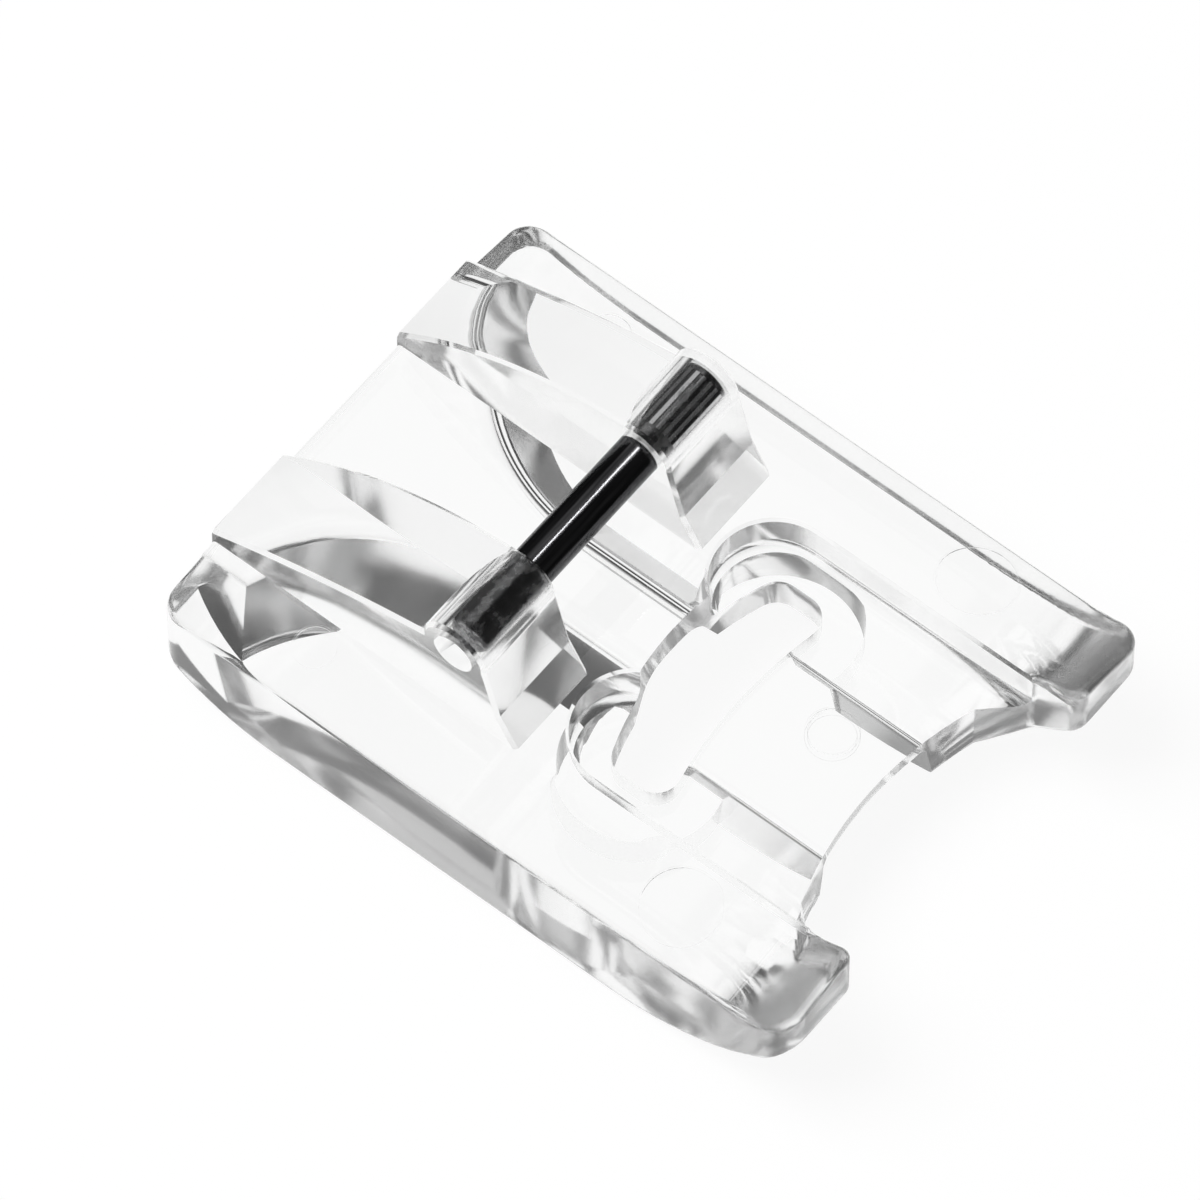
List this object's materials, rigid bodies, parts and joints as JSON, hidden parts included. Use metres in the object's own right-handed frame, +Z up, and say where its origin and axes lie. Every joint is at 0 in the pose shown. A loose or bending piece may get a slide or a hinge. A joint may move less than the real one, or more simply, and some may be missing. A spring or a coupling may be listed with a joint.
{
  "type": "sewing machine presser foot",
  "caption": "Clear moulded clip-on presser foot with an open toe, a wide needle slot, a stitch tunnel under the sole and a steel cross pin held between two ears.",
  "frame": {"origin": "under the middle of the foot, on the plane of the sole", "axes": "+X to the user's right, +Y to the rear of the foot, +Z up"},
  "size_m": [0.0224, 0.0302, 0.0113],
  "materials": {
    "clear_plastic": "polished, water-clear moulding",
    "pin_steel": "bright drawn steel, dark where it reflects its surroundings"
  },
  "bodies": {
    "root": {"foot_body": "clear_plastic", "cross_pin": "pin_steel"}
  },
  "joints": []
}
